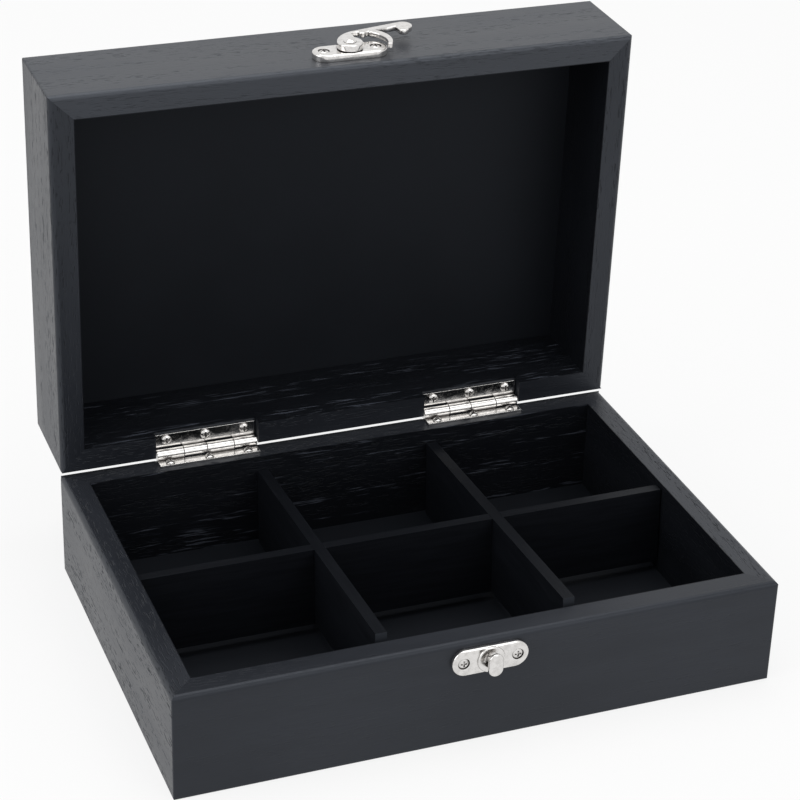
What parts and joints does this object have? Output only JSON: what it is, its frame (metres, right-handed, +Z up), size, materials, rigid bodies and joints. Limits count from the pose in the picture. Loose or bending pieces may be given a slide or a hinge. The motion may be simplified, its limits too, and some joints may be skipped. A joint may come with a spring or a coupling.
{
  "type": "tea bag organizer box",
  "caption": "Hinged wooden box with a loose divider grid for six stacks of tea bags and a swing hook latch on the front.",
  "frame": {"origin": "centre of the base's flat underside", "axes": "+X to the right along the front, +Y to the back where the hinges are, +Z up; at rest the lid stands open at 88.5 degrees"},
  "size_m": [0.24, 0.2099, 0.217],
  "materials": {
    "black_wood": "black open-grain stain, satin",
    "black_panel": "smooth matte black paint",
    "grid_wood": "thin black stain, satin",
    "nickel_plate": "bright nickel plating, slightly worn"
  },
  "bodies": {
    "base": {"base_front_wall": "black_wood", "base_back_wall": "black_wood", "base_left_wall": "black_wood", "base_right_wall": "black_wood", "base_bottom_panel": "black_panel", "left_hinge_base_leaf": "nickel_plate", "left_hinge_pin": "nickel_plate", "left_hinge_base_screws": "nickel_plate", "right_hinge_base_leaf": "nickel_plate", "right_hinge_pin": "nickel_plate", "right_hinge_base_screws": "nickel_plate", "catch_plate": "nickel_plate", "catch_stud": "nickel_plate", "catch_screws": "nickel_plate"},
    "lid": {"lid_front_wall": "black_wood", "lid_back_wall": "black_wood", "lid_left_wall": "black_wood", "lid_right_wall": "black_wood", "lid_top_panel": "black_panel", "left_hinge_lid_leaf": "nickel_plate", "left_hinge_lid_screws": "nickel_plate", "right_hinge_lid_leaf": "nickel_plate", "right_hinge_lid_screws": "nickel_plate", "latch_plate": "nickel_plate", "latch_screws": "nickel_plate", "latch_rivet": "nickel_plate"},
    "hook": {"latch_hook": "nickel_plate"},
    "grid": {"long_divider": "grid_wood", "left_cross_divider": "grid_wood", "right_cross_divider": "grid_wood"}
  },
  "joints": [
    {"name": "lid_hinge", "type": "hinge", "parent": "base", "child": "lid", "pos_m": [0, 0.0812, 0.047], "axis": [1, 0, 0], "range_deg": [0, 88.5]},
    {"name": "hook_pivot", "type": "hinge", "parent": "lid", "child": "hook", "pos_m": [0.0024, 0.08504, 0.20986], "axis": [0, 0.0262, -0.9997], "range_deg": [-90, 119]},
    {"name": "grid_lift", "type": "slide", "parent": "base", "child": "grid", "axis": [0, 0, 1], "range_m": [0, 0.02]}
  ]
}
